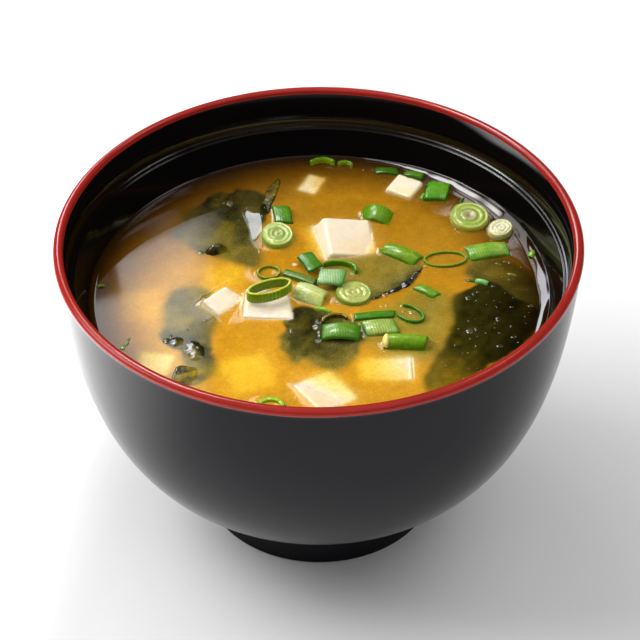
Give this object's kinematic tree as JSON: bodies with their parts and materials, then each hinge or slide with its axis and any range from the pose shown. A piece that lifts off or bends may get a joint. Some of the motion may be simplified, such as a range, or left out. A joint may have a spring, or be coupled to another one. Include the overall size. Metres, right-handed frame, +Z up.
{
  "type": "bowl of miso soup",
  "caption": "Black bowl with a red lip and a foot ring, filled with cloudy orange-brown miso soup with bean curd, sea vegetable and sliced spring onion.",
  "frame": {"origin": "centre of the underside of the foot ring, on the surface the bowl stands on", "axes": "+Z up along the bowl's axis; the pictured side faces -Y"},
  "size_m": [0.116, 0.116, 0.0742],
  "materials": {
    "lacquer": "satin black lacquer outside, glossier inside, with a glossy red lip",
    "broth": "cloudy orange-brown broth with a wet, glossy surface",
    "tofu": "moist off-white bean curd, softly translucent",
    "wakame": "wet dark olive-green leaf",
    "onion_green": "wet, ribbed green stalk",
    "onion_pale": "wet, pale green to white stalk with fine rings"
  },
  "bodies": {
    "root": {"bowl": "lacquer", "onion_back_flat": "onion_green", "onion_back_left": "onion_green", "onion_back_right": "onion_green", "onion_back_small": "onion_green", "onion_behind_left": "onion_green", "onion_bent_small": "onion_green", "onion_dark_strip": "onion_green", "onion_front_edge": "onion_green", "onion_front_green": "onion_green", "onion_half_ring": "onion_green", "onion_hood": "onion_green", "onion_long_strip": "onion_green", "onion_loop": "onion_green", "onion_oval_ring": "onion_green", "onion_pale_disc": "onion_pale", "onion_pale_right": "onion_pale", "onion_pale_thick": "onion_pale", "onion_ragged": "onion_green", "onion_ribbed_front": "onion_green", "onion_ribbed_middle": "onion_pale", "onion_ribbed_right": "onion_green", "onion_ringed_left": "onion_pale", "onion_ringed_right": "onion_pale", "onion_saddle": "onion_green", "onion_small_ring": "onion_green", "onion_square": "onion_green", "onion_thin_ring": "onion_green", "onion_white_green": "onion_green", "soup": "broth", "tofu_front": "tofu", "tofu_left_front": "tofu", "tofu_left_high": "tofu", "tofu_left_low": "tofu", "tofu_middle_back": "tofu", "tofu_right_front": "tofu", "tofu_small_back": "tofu", "wakame_back": "wakame", "wakame_edge_middle": "wakame", "wakame_left": "wakame", "wakame_left_front": "wakame", "wakame_middle": "wakame", "wakame_right": "wakame"}
  },
  "joints": []
}
